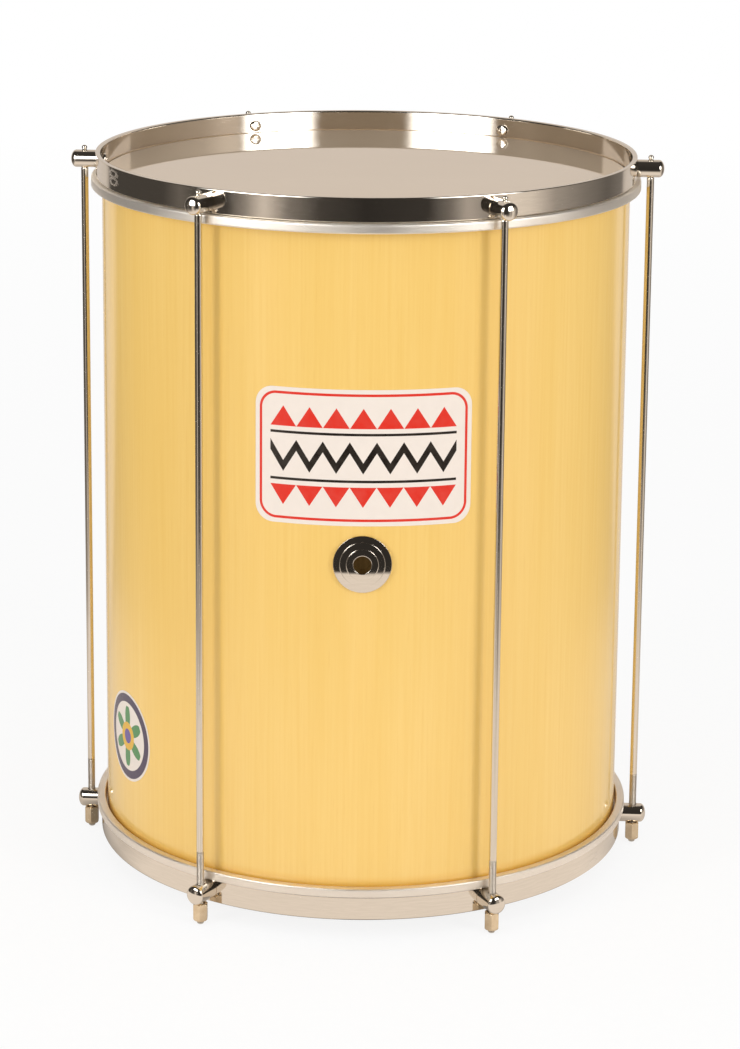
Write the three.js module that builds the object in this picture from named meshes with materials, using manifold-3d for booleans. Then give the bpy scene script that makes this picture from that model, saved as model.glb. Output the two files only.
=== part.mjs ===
// Surdo: a deep two-headed bass drum with rods, radial posts and flat-bar counter hoops.
// Millimetres, +Z up. The origin is on the floor, on the drum's axis, between the rod ends that it stands on.
// The vent faces -Y, and an azimuth is counted from -Y towards +X.

import * as THREE from 'three';
import { mergeVertices } from 'three/addons/utils/BufferGeometryUtils.js';
import Module from 'manifold-3d';

const wasm = await Module();
wasm.setup();

// Driving dimensions of the whole drum

const shellDiameter = 457;
const shellWall = 6;
const rimToRimHeight = 612.5;
const headRecess = 17.8;
const filmThickness = 0.4;

// Clearances

const seatGap = 0.3;
const rodClearance = 0.35;
const threadClearance = 0.3;
const cutOverrun = 2;

// Counter hoops of flat bar

const hoopHeight = 20.5;
const hoopThickness = 4.6;
const hoopCorner = 0.7;

// Flesh hoops: folded channels that grip the film's edge

const fleshHeight = 8;
const fleshLedge = 4.2;
const fleshSheet = 1.2;
const fleshShellGap = 2.1;
const fleshEdgeRadius = 1.2;
const fleshFoldRadius = 2.6;

// Heads

const headBendRadius = 2.2;

// Shell bearing edges

const bearingCrown = 1.6;
const bearingBevelDrop = 4;

// Lug posts, as many round each hoop as there are rods

const lugCount = 6;
const lugAzimuth = THREE.MathUtils.degToRad(26.9);
const topPostDiameter = 15.2;
const bottomPostDiameter = 16.6;
const postLength = 23.4;
const postDome = 4.6;
const postBaseChamfer = 0.5;
const postFromRimEdge = 11.5;

// Screws that hold the posts from inside the hoops

const screwHeadDiameter = 10;
const screwHeadHeight = 2.6;
const screwHeadFaceShare = 0.72;
const screwShankDiameter = 5;
const screwReach = 6;

// Tension rods

const rodDiameter = 6.35;
const rodOutset = 11.7;
const rodTipStandOff = 3;
const rodTipRound = 2;
const rodTipFlatShare = 0.62;
const tenonDiameter = 3.8;
const rodButtonDiameter = 4.8;
const rodButtonHeight = 4.4;

// Long hex nuts under the bottom posts

const nutAcrossFlats = 11.6;
const nutLength = 16;
const nutChamferDrop = 1.5;
const nutFaceDiameter = 8.6;

// Vent: stepped grommet through the shell with a ring nut inside

const ventAboveBottomRim = 308.5;
const ventDiameter = 48.2;
const ventBore = 15;
const ventOuterLand = 5.9;
const ventMiddleLand = 4.8;
const ventStepHeight = 1.1;
const ventEdgeRound = 0.4;
const ventSleeveDiameter = 20;
const ventSleeveReach = 5;
const ventRingWall = 4.7;
const ventRingThickness = 3.2;

// Facets of round pieces

const ringSegments = 54;
const postSegments = 12;
const rodSegments = 10;
const screwSegments = 8;
const nutSides = 6;
const ventSegments = 24;
const domeSteps = 3;

// Sizes that follow from the driving dimensions

const shellRadius = shellDiameter / 2;
const nutBottom = rodTipStandOff;
const nutTop = nutBottom + nutLength;
const bottomPostHeight = nutTop + seatGap + bottomPostDiameter / 2;
const bottomRim = bottomPostHeight - postFromRimEdge;
const topRim = bottomRim + rimToRimHeight;
const topPostHeight = topRim - postFromRimEdge;
const ventHeight = bottomRim + ventAboveBottomRim;
const collarRadius = shellRadius + seatGap + filmThickness;
const hoopInnerRadius = collarRadius + seatGap;
const hoopOuterRadius = hoopInnerRadius + hoopThickness;
const fleshOuterRadius = hoopOuterRadius + fleshLedge;
const fleshInnerRadius = shellRadius + fleshShellGap;
const facetHalfAngle = Math.PI / ringSegments;
const hoopInnerFlat = hoopInnerRadius * Math.cos(facetHalfAngle);
const hoopOuterFlat = hoopOuterRadius * Math.cos(facetHalfAngle);
const ringPhase = lugAzimuth + facetHalfAngle;
const rodCircleRadius = hoopOuterRadius + rodOutset;

// Materials

function metal(color, roughness) {
  return new THREE.MeshStandardMaterial({ color, roughness, metalness: 1 });
}

const looks = {
  shell: () => new THREE.MeshStandardMaterial({ color: 0xf6cf7f, roughness: 0.28, metalness: 0 }),
  film: () => new THREE.MeshStandardMaterial({ color: 0xd3c2af, roughness: 0.12, metalness: 0 }),
  chrome: () => metal(0xd9d6d2, 0.08),
  aluminium: () => metal(0xdccbb8, 0.3),
  rodSteel: () => metal(0xb9b4ae, 0.18),
  nutSteel: () => metal(0xdcbe96, 0.22),
};

// Solids from closed geometries, and back

function solidFrom(geometry) {
  const bare = geometry.index ? geometry.toNonIndexed() : geometry.clone();
  bare.deleteAttribute('normal');
  bare.deleteAttribute('uv');
  const merged = mergeVertices(bare);
  const corners = merged.index.array;
  const kept = [];
  for (let i = 0; i < corners.length; i += 3) {
    const [a, b, c] = corners.slice(i, i + 3);
    if (a !== b && b !== c && c !== a) kept.push(a, b, c);
  }
  const vertProperties = new Float32Array(merged.attributes.position.array);
  return new wasm.Manifold(new wasm.Mesh({ numProp: 3, vertProperties, triVerts: new Uint32Array(kept) }));
}

function geometryFrom(solid) {
  const mesh = solid.getMesh();
  const geometry = new THREE.BufferGeometry();
  geometry.setAttribute('position', new THREE.BufferAttribute(mesh.vertProperties, 3));
  geometry.setIndex(new THREE.BufferAttribute(mesh.triVerts, 1));
  return geometry;
}

// Profiles are lists of [radius, height]. They run so that the revolved faces point out.

function signedArea(profile) {
  let sum = 0;
  profile.forEach(([r, h], i) => {
    const [nextR, nextH] = profile[(i + 1) % profile.length];
    sum += r * nextH - nextR * h;
  });
  return sum / 2;
}

function revolved(profile, segments, phase = 0) {
  const ordered = signedArea(profile) > 0 ? profile : [...profile].reverse();
  const touchesAxis = ordered.some(([r]) => r === 0);
  const start = touchesAxis ? ordered.findIndex(([r], i) => r === 0 && previousRadius(ordered, i) === 0) : 0;
  const turned = [...ordered.slice(start), ...ordered.slice(0, start)];
  const points = turned.map(([r, h]) => new THREE.Vector2(r, h));
  if (!touchesAxis) points.push(points[0].clone());
  return new THREE.LatheGeometry(points, segments, phase);
}

function previousRadius(profile, index) {
  return profile[(index + profile.length - 1) % profile.length][0];
}

function uprightSolid(profile, segments, phase) {
  return solidFrom(revolved(profile, segments, phase).rotateX(Math.PI / 2));
}

// A profile's height becomes the distance out from the drum's axis, along -Y.
function radialSolid(profile, segments, phase) {
  return solidFrom(revolved(profile, segments, phase).rotateX(Math.PI));
}

// An elliptic dome, from its shoulder to just short of its tip on the axis
function domePoints(radius, shoulder, rise) {
  return Array.from({ length: domeSteps }, (_, i) => {
    const angle = (i * Math.PI) / 2 / domeSteps;
    return [radius * Math.cos(angle), shoulder + rise * Math.sin(angle)];
  });
}

function arcPoints(centreR, centreH, radius, fromDegrees, toDegrees, steps) {
  return Array.from({ length: steps + 1 }, (_, i) => {
    const angle = THREE.MathUtils.degToRad(fromDegrees + ((toDegrees - fromDegrees) * i) / steps);
    return [centreR + radius * Math.cos(angle), centreH + radius * Math.sin(angle)];
  });
}

// Both ends of the drum are alike. A profile there is written as [radius, depth from the rim edge].

function atTop(profile) {
  return profile.map(([r, depth]) => [r, topRim - depth]);
}

function atBottom(profile) {
  return profile.map(([r, depth]) => [r, bottomRim + depth]);
}

// Pieces of each end

function counterHoopProfile() {
  const c = hoopCorner;
  return [
    [hoopInnerRadius + c, 0],
    [hoopOuterRadius - c, 0],
    [hoopOuterRadius, c],
    [hoopOuterRadius, hoopHeight - c],
    [hoopOuterRadius - c, hoopHeight],
    [hoopInnerRadius + c, hoopHeight],
    [hoopInnerRadius, hoopHeight - c],
    [hoopInnerRadius, c],
  ];
}

function counterHoop(place, postHeight) {
  let hoop = uprightSolid(place(counterHoopProfile()), ringSegments, ringPhase);
  const hole = radialSolid(
    [
      [0, hoopInnerRadius - cutOverrun],
      [screwShankDiameter / 2 + threadClearance, hoopInnerRadius - cutOverrun],
      [screwShankDiameter / 2 + threadClearance, hoopOuterRadius + cutOverrun],
      [0, hoopOuterRadius + cutOverrun],
    ],
    screwSegments,
  );
  for (const azimuth of lugAzimuths()) {
    const placement = new THREE.Matrix4().makeRotationZ(azimuth).setPosition(0, 0, postHeight);
    hoop = hoop.subtract(hole.transform(placement.elements));
  }
  return geometryFrom(hoop);
}

const fleshTop = hoopHeight + seatGap;
const fleshBottom = fleshTop + fleshHeight;
const innerWallTop = fleshTop + filmThickness + seatGap;
const innerWallOutside = fleshInnerRadius + fleshSheet;
const filmDropOuter = innerWallOutside + seatGap + filmThickness;
const lipInnerRadius = filmDropOuter + seatGap;

function fleshHoopProfile() {
  const edge = fleshEdgeRadius;
  const fold = fleshFoldRadius;
  return [
    [lipInnerRadius, fleshTop],
    ...arcPoints(fleshOuterRadius - edge, fleshTop + edge, edge, -90, 0, 1),
    ...arcPoints(fleshOuterRadius - fold, fleshBottom - fold, fold, 0, 90, 2),
    ...arcPoints(fleshInnerRadius + fleshSheet, fleshBottom - fleshSheet, fleshSheet, 90, 180, 1),
    [fleshInnerRadius, innerWallTop],
    [innerWallOutside, innerWallTop],
    [innerWallOutside, fleshBottom - fleshSheet],
    [fleshOuterRadius - fleshSheet, fleshBottom - fleshSheet - (fold - fleshSheet)],
    [fleshOuterRadius - fleshSheet, fleshTop + fleshSheet],
    [lipInnerRadius, fleshTop + fleshSheet],
  ];
}

function fleshHoop(place) {
  return geometryFrom(uprightSolid(place(fleshHoopProfile()), ringSegments, ringPhase));
}

function filmProfile() {
  const bend = headBendRadius;
  const face = headRecess;
  const foot = fleshBottom - fleshSheet - (fleshFoldRadius - fleshSheet) - seatGap;
  const back = face + filmThickness;
  return [
    [0, face],
    ...arcPoints(collarRadius - bend, face + bend, bend, -90, 0, 2),
    [collarRadius, fleshTop],
    [filmDropOuter, fleshTop],
    [filmDropOuter, foot],
    [filmDropOuter - filmThickness, foot],
    [filmDropOuter - filmThickness, fleshTop + filmThickness],
    [collarRadius - filmThickness, fleshTop + filmThickness],
    ...arcPoints(collarRadius - bend, face + bend, bend - filmThickness, 0, -90, 1),
    [0, back],
  ];
}

function film(place) {
  return geometryFrom(uprightSolid(place(filmProfile()), ringSegments, ringPhase));
}

// Shell: a tube with a rounded outer crown and an inner bevel at each bearing edge

const edgeDepth = headRecess + filmThickness + seatGap;
const innerRadius = shellRadius - shellWall;

function shellProfile() {
  const crownRadius = shellRadius - bearingCrown;
  const end = [
    [shellRadius, edgeDepth + bearingCrown],
    [crownRadius, edgeDepth],
    [innerRadius, edgeDepth + bearingBevelDrop],
  ];
  return [...atTop(end), ...atBottom(end).reverse()];
}

function ventHoleTool() {
  const radius = ventSleeveDiameter / 2 + seatGap;
  const profile = [
    [0, innerRadius - cutOverrun],
    [radius, innerRadius - cutOverrun],
    [radius, shellRadius + cutOverrun],
    [0, shellRadius + cutOverrun],
  ];
  return radialSolid(profile, ventSegments).translate([0, 0, ventHeight]);
}

function shell() {
  const tube = uprightSolid(shellProfile(), ringSegments, ringPhase);
  return geometryFrom(tube.subtract(ventHoleTool()));
}

// Vent: the flange's back and the ring nut's front are hollowed or crowned to the round shell

function shellBarrel(radius) {
  const profile = [
    [0, ventHeight - ventDiameter],
    [radius, ventHeight - ventDiameter],
    [radius, ventHeight + ventDiameter],
    [0, ventHeight + ventDiameter],
  ];
  return uprightSolid(profile, ringSegments, ringPhase);
}

const ventFlangeBack = Math.sqrt((shellRadius + seatGap) ** 2 - (ventDiameter / 2) ** 2) - cutOverrun;
const ventFlangeFront = shellRadius + seatGap + ventStepHeight;
const ventSleeveEnd = innerRadius - ventSleeveReach;

const ventLandRadii = [
  ventDiameter / 2,
  ventDiameter / 2 - ventOuterLand,
  ventDiameter / 2 - ventOuterLand - ventMiddleLand,
];

function ventFlangeProfile() {
  const profile = [[0, ventFlangeBack]];
  let face = ventFlangeBack;
  ventLandRadii.forEach((radius, i) => {
    profile.push([radius, face]);
    face = ventFlangeFront + i * ventStepHeight;
    profile.push([radius, face - ventEdgeRound]);
    profile.push([radius - ventEdgeRound, face]);
  });
  profile.push([ventBore / 2, face]);
  profile.push([0, face]);
  return profile;
}

function ventGrommet() {
  const flange = radialSolid(ventFlangeProfile(), ventSegments)
    .translate([0, 0, ventHeight])
    .subtract(shellBarrel(shellRadius + seatGap));
  const sleeve = radialSolid(
    [
      [0, ventSleeveEnd],
      [ventSleeveDiameter / 2, ventSleeveEnd],
      [ventSleeveDiameter / 2, ventFlangeFront],
      [0, ventFlangeFront],
    ],
    ventSegments,
  ).translate([0, 0, ventHeight]);
  const bore = radialSolid(
    [
      [0, ventSleeveEnd - cutOverrun],
      [ventBore / 2, ventSleeveEnd - cutOverrun],
      [ventBore / 2, ventFlangeFront + ventLandRadii.length * ventStepHeight + cutOverrun],
      [0, ventFlangeFront + ventLandRadii.length * ventStepHeight + cutOverrun],
    ],
    ventSegments,
  ).translate([0, 0, ventHeight]);
  return geometryFrom(flange.add(sleeve).subtract(bore));
}

function ventRingNut() {
  const front = innerRadius + cutOverrun;
  const back = innerRadius - ventRingThickness;
  const bore = ventSleeveDiameter / 2 + threadClearance;
  const ring = radialSolid(
    [
      [bore, back],
      [bore + ventRingWall, back],
      [bore + ventRingWall, front],
      [bore, front],
    ],
    ventSegments,
  ).translate([0, 0, ventHeight]);
  const inside = shellBarrel(innerRadius - seatGap);
  return geometryFrom(ring.intersect(inside));
}

// Lug posts and their screws, along -Y at height zero

const postBase = hoopOuterFlat + seatGap;
const postTip = hoopOuterRadius + postLength;
const screwEnd = postBase + screwReach;

function postProfile(diameter) {
  const radius = diameter / 2;
  return [
    [0, postBase],
    [radius - postBaseChamfer, postBase],
    [radius, postBase + postBaseChamfer],
    ...domePoints(radius, postTip - postDome, postDome),
    [0, postTip],
  ];
}

function post(diameter, rodHoleRadius) {
  const body = radialSolid(postProfile(diameter), postSegments, Math.PI / postSegments);
  const screwHole = radialSolid(
    [
      [0, postBase - cutOverrun],
      [screwShankDiameter / 2 + threadClearance, postBase - cutOverrun],
      [screwShankDiameter / 2 + threadClearance, screwEnd + threadClearance],
      [0, screwEnd + threadClearance],
    ],
    screwSegments,
  );
  const rodHole = uprightSolid(
    [
      [0, -diameter],
      [rodHoleRadius, -diameter],
      [rodHoleRadius, diameter],
      [0, diameter],
    ],
    rodSegments,
  ).translate([0, -rodCircleRadius, 0]);
  return geometryFrom(body.subtract(screwHole).subtract(rodHole));
}

function topPostSolid() {
  return post(topPostDiameter, tenonDiameter / 2 + rodClearance);
}

function bottomPostSolid() {
  return post(bottomPostDiameter, rodDiameter / 2 + rodClearance);
}

function screw() {
  const seat = hoopInnerFlat - seatGap;
  const shank = screwShankDiameter / 2;
  const head = screwHeadDiameter / 2;
  const profile = [
    [0, seat - screwHeadHeight],
    [head * screwHeadFaceShare, seat - screwHeadHeight],
    [head, seat - screwHeadHeight / 2],
    [head, seat],
    [shank, seat],
    [shank, screwEnd],
    [0, screwEnd],
  ];
  return geometryFrom(radialSolid(profile, screwSegments));
}

// Rods and nuts, upright on the rod circle's axis

const rodShoulder = topPostHeight - topPostDiameter / 2 - seatGap;
const buttonSeat = topPostHeight + topPostDiameter / 2 + seatGap;

function rod() {
  const radius = rodDiameter / 2;
  const tenon = tenonDiameter / 2;
  const buttonRise = rodButtonHeight / 2;
  const profile = [
    [0, 0],
    [radius * rodTipFlatShare, 0],
    [radius, rodTipRound],
    [radius, rodShoulder],
    [tenon, rodShoulder],
    [tenon, buttonSeat],
    ...domePoints(rodButtonDiameter / 2, buttonSeat + buttonRise, buttonRise),
    [0, buttonSeat + rodButtonHeight],
  ];
  return geometryFrom(uprightSolid(profile, rodSegments));
}

function nut() {
  const cornerRadius = nutAcrossFlats / 2 / Math.cos(Math.PI / nutSides);
  const blankProfile = [
    [0, nutBottom],
    [cornerRadius, nutBottom],
    [cornerRadius, nutTop],
    [0, nutTop],
  ];
  const turnedProfile = [
    [0, nutBottom],
    [nutFaceDiameter / 2, nutBottom],
    [cornerRadius, nutBottom + nutChamferDrop],
    [cornerRadius, nutTop - nutChamferDrop],
    [nutFaceDiameter / 2, nutTop],
    [0, nutTop],
  ];
  const boreRadius = rodDiameter / 2 + threadClearance;
  const boreProfile = [
    [0, nutBottom - cutOverrun],
    [boreRadius, nutBottom - cutOverrun],
    [boreRadius, nutTop + cutOverrun],
    [0, nutTop + cutOverrun],
  ];
  const blank = uprightSolid(blankProfile, nutSides, Math.PI / nutSides);
  const turned = uprightSolid(turnedProfile, 2 * nutSides);
  return geometryFrom(blank.intersect(turned).subtract(uprightSolid(boreProfile, rodSegments)));
}

// Scene graph

function lugAzimuths() {
  return Array.from({ length: lugCount }, (_, i) => lugAzimuth + (i * 2 * Math.PI) / lugCount);
}

function named(name, geometry, material) {
  const mesh = new THREE.Mesh(geometry, material);
  mesh.name = name;
  return mesh;
}

const surdo = new THREE.Group();
surdo.add(
  named('shell', shell(), looks.shell()),
  named('vent_grommet', ventGrommet(), looks.chrome()),
  named('vent_ring_nut', ventRingNut(), looks.chrome()),
  named('top_head', film(atTop), looks.film()),
  named('bottom_head', film(atBottom), looks.film()),
  named('top_flesh_hoop', fleshHoop(atTop), looks.aluminium()),
  named('bottom_flesh_hoop', fleshHoop(atBottom), looks.aluminium()),
  named('top_counter_hoop', counterHoop(atTop, topPostHeight), looks.chrome()),
  named('bottom_counter_hoop', counterHoop(atBottom, bottomPostHeight), looks.chrome()),
);

lugAzimuths().forEach((azimuth, index) => {
  const number = index + 1;
  const station = new THREE.Group();
  station.rotation.z = azimuth;
  const topPost = named(`top_post_${number}`, topPostSolid(), looks.chrome());
  const topScrew = named(`top_screw_${number}`, screw(), looks.rodSteel());
  const bottomPost = named(`bottom_post_${number}`, bottomPostSolid(), looks.chrome());
  const bottomScrew = named(`bottom_screw_${number}`, screw(), looks.rodSteel());
  const tensionRod = named(`rod_${number}`, rod(), looks.rodSteel());
  const hexNut = named(`nut_${number}`, nut(), looks.nutSteel());
  topPost.position.z = topPostHeight;
  topScrew.position.z = topPostHeight;
  bottomPost.position.z = bottomPostHeight;
  bottomScrew.position.z = bottomPostHeight;
  tensionRod.position.y = -rodCircleRadius;
  hexNut.position.y = -rodCircleRadius;
  station.add(topPost, topScrew, bottomPost, bottomScrew, tensionRod, hexNut);
  surdo.add(station);
});

export default surdo;
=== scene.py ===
"""The looks of the surdo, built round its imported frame."""

import math

import bpy
import numpy as np
from mathutils import Matrix

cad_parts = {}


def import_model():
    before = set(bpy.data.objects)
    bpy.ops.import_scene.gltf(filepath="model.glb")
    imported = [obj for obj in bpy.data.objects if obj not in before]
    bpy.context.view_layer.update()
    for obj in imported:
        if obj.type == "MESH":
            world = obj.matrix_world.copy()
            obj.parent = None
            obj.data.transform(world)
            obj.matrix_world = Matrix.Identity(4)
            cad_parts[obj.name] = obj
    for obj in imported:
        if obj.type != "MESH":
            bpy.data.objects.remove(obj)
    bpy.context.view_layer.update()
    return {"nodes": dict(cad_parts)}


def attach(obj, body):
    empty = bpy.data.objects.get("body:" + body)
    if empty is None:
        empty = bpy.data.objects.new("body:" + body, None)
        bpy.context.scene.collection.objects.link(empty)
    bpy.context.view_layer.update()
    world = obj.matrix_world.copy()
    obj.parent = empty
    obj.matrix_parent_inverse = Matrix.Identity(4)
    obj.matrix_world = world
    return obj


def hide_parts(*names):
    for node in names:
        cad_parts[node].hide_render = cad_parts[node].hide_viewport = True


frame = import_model()

# Sizes of the drum in millimetres, as the frame has them

MM = 0.001
GAP = 0.3
FILM = 0.4
SHELL_RADIUS = 228.5
SHELL_WALL = 6.0
RIM_TO_RIM = 612.5
HEAD_RECESS = 17.8
HOOP_HEIGHT = 20.5
HOOP_BAR = 4.6
FLESH_HEIGHT = 8.0
FLESH_SHEET = 1.2
FILM_SHORT = 1.4
ROD_RADIUS = 3.175
TENON_RADIUS = 1.9
BUTTON_RADIUS = 2.4
BUTTON_HEIGHT = 4.0
TOP_POST_RADIUS = 7.6
BOTTOM_POST_RADIUS = 8.3
POST_DOME = 4.6
POST_FROM_RIM = 11.5
NUT_BOTTOM = 3.0
NUT_LENGTH = 16.0
NUT_FLAT = 5.8
SCREW_HEAD = 5.0
SCREW_SHANK = 2.5
SCREW_REACH = 6.0
VENT_RADIUS = 24.1
VENT_BORE = 7.5
SLEEVE_RADIUS = 10.0
SLEEVE_BACK = 217.5
LUG_AZIMUTH = 26.9
LUG_COUNT = 6
CAD_RING_SEGMENTS = 54

BOTTOM_POST = NUT_BOTTOM + NUT_LENGTH + GAP + BOTTOM_POST_RADIUS
BOTTOM_RIM = BOTTOM_POST - POST_FROM_RIM
TOP_RIM = BOTTOM_RIM + RIM_TO_RIM
TOP_POST = TOP_RIM - POST_FROM_RIM
VENT_HEIGHT = BOTTOM_RIM + 308.5
COLLAR = SHELL_RADIUS + GAP + FILM
HOOP_INNER = COLLAR + GAP
HOOP_OUTER = HOOP_INNER + HOOP_BAR
FLESH_TOP = HOOP_HEIGHT + GAP
FLESH_INNER = SHELL_RADIUS + 2.1
FLESH_OUTER = HOOP_OUTER + 3.8
ROD_CIRCLE = HOOP_OUTER + 11.7
POST_BASE = HOOP_OUTER * math.cos(math.pi / CAD_RING_SEGMENTS) + GAP
POST_TIP = HOOP_OUTER + 23.35

# Finer forms that only the looks have

RING_TURNS = 240
THREAD_PITCH = 1.27
THREAD_DEPTH = 0.42
THREAD_TOP = BOTTOM_POST + 38.0

# Weld marks on the hoops: azimuth in degrees, and the depths of two rings from the rim edge.
# Each ring is drawn out along the hoop.

TOP_WELD = (-64.2, 5.2, 11.6)
BOTTOM_WELD = (59.7, 10.6, 4.6)
WELD_RADIUS = 2.7
WELD_DRAWN = 0.36

# Crimped joints of the flesh hoops: azimuth in degrees

TOP_JOINT = -10.75
BOTTOM_JOINT = 37.5

# Labels: azimuth and height of the middle, then half width and half height, or the radius

PANEL = (0.0, BOTTOM_RIM + 397.5, 90.0, 57.0)
PANEL_CORNER = 15.0
ROUNDEL = (-62.3, BOTTOM_RIM + 114.0, 39.8)


# Outlines and surfaces


def filleted(corners, steps):
    """A closed outline. Each corner is (x, y) or (x, y, radius), and a radius turns it into a
    tangent arc, centre + (sin((1 - s) a) start + sin(s a) end) / sin a for s from 0 to 1.
    """
    s = np.linspace(0, 1, steps + 1)[:, None]
    points = []
    spots = [np.array(c[:2], float) for c in corners]
    for i, corner in enumerate(corners):
        here = spots[i]
        radius = corner[2] if len(corner) > 2 else 0
        if not radius:
            points.append(here)
            continue
        before, after = spots[i - 1] - here, spots[(i + 1) % len(corners)] - here
        u, v = before / np.linalg.norm(before), after / np.linalg.norm(after)
        half = math.acos(np.clip(u @ v, -1, 1)) / 2
        centre = here + (u + v) / np.linalg.norm(u + v) * radius / math.sin(half)
        start = here + u * radius / math.tan(half) - centre
        end = here + v * radius / math.tan(half) - centre
        sweep = math.pi - 2 * half
        arc = (np.sin((1 - s) * sweep) * start + np.sin(s * sweep) * end) / math.sin(sweep)
        points.extend(centre + arc)
    return np.array(points)


def grid(points, close_rows, close_columns=True):
    """Quads over points[row, column]. A row whose points all coincide is one pole."""
    pole = np.ptp(points, axis=1).max(axis=1) < 1e-9
    kept = np.ones(points.shape[:2], bool)
    kept[pole, 1:] = False
    index = np.cumsum(kept).reshape(kept.shape) - 1
    index[pole] = index[pole, :1]
    low = index if close_rows else index[:-1]
    high = np.roll(index, -1, axis=0)[: len(low)]
    quads = np.stack([low, np.roll(low, -1, axis=1), np.roll(high, -1, axis=1), high], axis=-1)
    if not close_columns:
        quads = quads[:, :-1]
    quads = quads.reshape(-1, 4)
    at_low, at_high = quads[:, 0] == quads[:, 1], quads[:, 2] == quads[:, 3]
    faces = quads[~at_low & ~at_high].tolist()
    faces += quads[at_low & ~at_high][:, 1:].tolist()
    faces += quads[at_high & ~at_low][:, :3].tolist()
    return points[kept], faces


def braced(outline):
    """A closed outline with a point close to each end of every long straight, which keeps flats
    flat when shaded.
    """
    outline = np.asarray(outline, float)
    step = np.roll(outline, -1, axis=0) - outline
    size = np.linalg.norm(step, axis=1, keepdims=True)
    long = size > 1.2
    near = np.where(long, 0.25 / np.maximum(size, 1e-9), 0)
    kept = np.repeat(long, 3, axis=1)
    kept[:, 0] = True
    return np.stack([outline, outline + step * near, outline + step * (1 - near)], axis=1)[kept]


def lathe(profile, turns):
    """(r cos t, r sin t, h) for each [r, h] of the profile and t from 0 to 2 pi."""
    profile = np.asarray(profile, float)
    t = np.linspace(0, 2 * math.pi, turns, endpoint=False)
    r, h = profile[:, :1], profile[:, 1:]
    points = np.stack([r * np.cos(t), r * np.sin(t), h + 0 * t], axis=-1)
    return grid(points, close_rows=profile[:, 0].min() > 1e-6)


def plug(radius, low, high, turns):
    """A cylinder round +Z, for cutting holes."""
    return lathe([(0, low), (radius, low), (radius, high), (0, high)], turns)


def radial(vertices, height=0.0):
    """Turns a piece made along +Z so that its axis points out along -Y, at that height."""
    x, y, z = vertices.T
    return np.stack([x, -z, y + height], axis=-1)


def turned(vertices, azimuth):
    """Moves a piece from the azimuth -Y to another, in degrees towards +X."""
    a = math.radians(azimuth)
    c, s = math.cos(a), math.sin(a)
    x, y, z = vertices.T
    return np.stack([x * c - y * s, x * s + y * c, z], axis=-1)


def linked(name, data):
    """An object at the origin, in the scene."""
    obj = bpy.data.objects.new(name, data)
    bpy.context.scene.collection.objects.link(obj)
    return obj


def bare_object(name, vertices, faces):
    """A closed mesh. The sign of its volume, the sum of a . (b x c) / 6, decides which way its
    faces turn.
    """
    mesh = bpy.data.meshes.new(name)
    mesh.from_pydata((vertices * MM).tolist(), [], faces)
    mesh.validate()
    mesh.calc_loop_triangles()
    corners = np.zeros(len(mesh.loop_triangles) * 3, np.int32)
    mesh.loop_triangles.foreach_get("vertices", corners)
    a, b, c = (vertices[corners[k::3]] for k in range(3))
    if np.sum(a * np.cross(b, c)) < 0:
        mesh.flip_normals()
    return linked(name, mesh)


def cut(obj, *tools):
    """Takes closed tool shapes, given as (vertices, faces), out of a piece."""
    for i, (vertices, faces) in enumerate(tools):
        tool = bare_object(f"{obj.name}_tool{i}", vertices, faces)
        step = obj.modifiers.new("cut", "BOOLEAN")
        step.object = tool
        step.solver = "EXACT"
        graph = bpy.context.evaluated_depsgraph_get()
        result = bpy.data.meshes.new_from_object(obj.evaluated_get(graph))
        obj.modifiers.clear()
        old, obj.data = obj.data, result
        bpy.data.meshes.remove(old)
        bpy.data.objects.remove(tool)


def piece(obj, body, mat, replaces=(), sharp=35):
    """Finishes a piece: material, smooth shading up to an angle, and its place in the frame."""
    obj.data.materials.clear()
    obj.data.materials.append(mat)
    obj.data.shade_smooth()
    obj.data.set_sharp_from_angle(angle=math.radians(sharp))
    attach(obj, body)
    if replaces:
        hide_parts(replaces)


def float_attribute(obj, name, values):
    layer = obj.data.attributes.new(name, "FLOAT", "POINT")
    layer.data.foreach_set("value", np.asarray(values, np.float32))


def coordinates(obj):
    flat = np.zeros(len(obj.data.vertices) * 3, np.float32)
    obj.data.vertices.foreach_get("co", flat)
    return flat.reshape(-1, 3) / MM


def along_from(obj, azimuth, radius, shear=0.0, height=0.0):
    """Attribute `along`: arc length in millimetres from an azimuth, sheared with height."""
    x, y, z = coordinates(obj).T
    turn = (np.degrees(np.arctan2(x, -y)) - azimuth + 180) % 360 - 180
    float_attribute(obj, "along", np.radians(turn) * radius + shear * (z - height))


# Nodes


def add(mat, kind, inputs=None, **properties):
    node = mat.node_tree.nodes.new(kind)
    for key, value in properties.items():
        setattr(node, key, value)
    for key, value in (inputs or {}).items():
        put(mat, node.inputs[key], value)
    return node


def put(mat, socket, value):
    if isinstance(value, bpy.types.NodeSocket):
        mat.node_tree.links.new(value, socket)
    else:
        socket.default_value = value


def calc(mat, operation, *values):
    return add(mat, "ShaderNodeMath", dict(enumerate(values)), operation=operation).outputs[0]


def length(mat, a, b):
    """The square root of a^2 + b^2."""
    squares = calc(mat, "MULTIPLY", a, a), calc(mat, "MULTIPLY", b, b)
    return calc(mat, "SQRT", calc(mat, "ADD", *squares))


def material(name, **sockets):
    """A principled material. Socket names are written with underscores for spaces."""
    mat = bpy.data.materials.new(name)
    mat.use_nodes = True
    bsdf = mat.node_tree.nodes["Principled BSDF"]
    for key, value in sockets.items():
        bsdf.inputs[key.replace("_", " ")].default_value = value
    return mat


def surface(mat, socket, value):
    put(mat, mat.node_tree.nodes["Principled BSDF"].inputs[socket], value)


def place(mat, scale=(1, 1, 1)):
    """Object coordinates, stretched."""
    vector = add(mat, "ShaderNodeTexCoord").outputs["Object"]
    return add(mat, "ShaderNodeMapping", {"Vector": vector, "Scale": scale}).outputs[0]


def upright(mat):
    """Object z, in metres."""
    return add(mat, "ShaderNodeSeparateXYZ", {0: place(mat)}).outputs[2]


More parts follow.
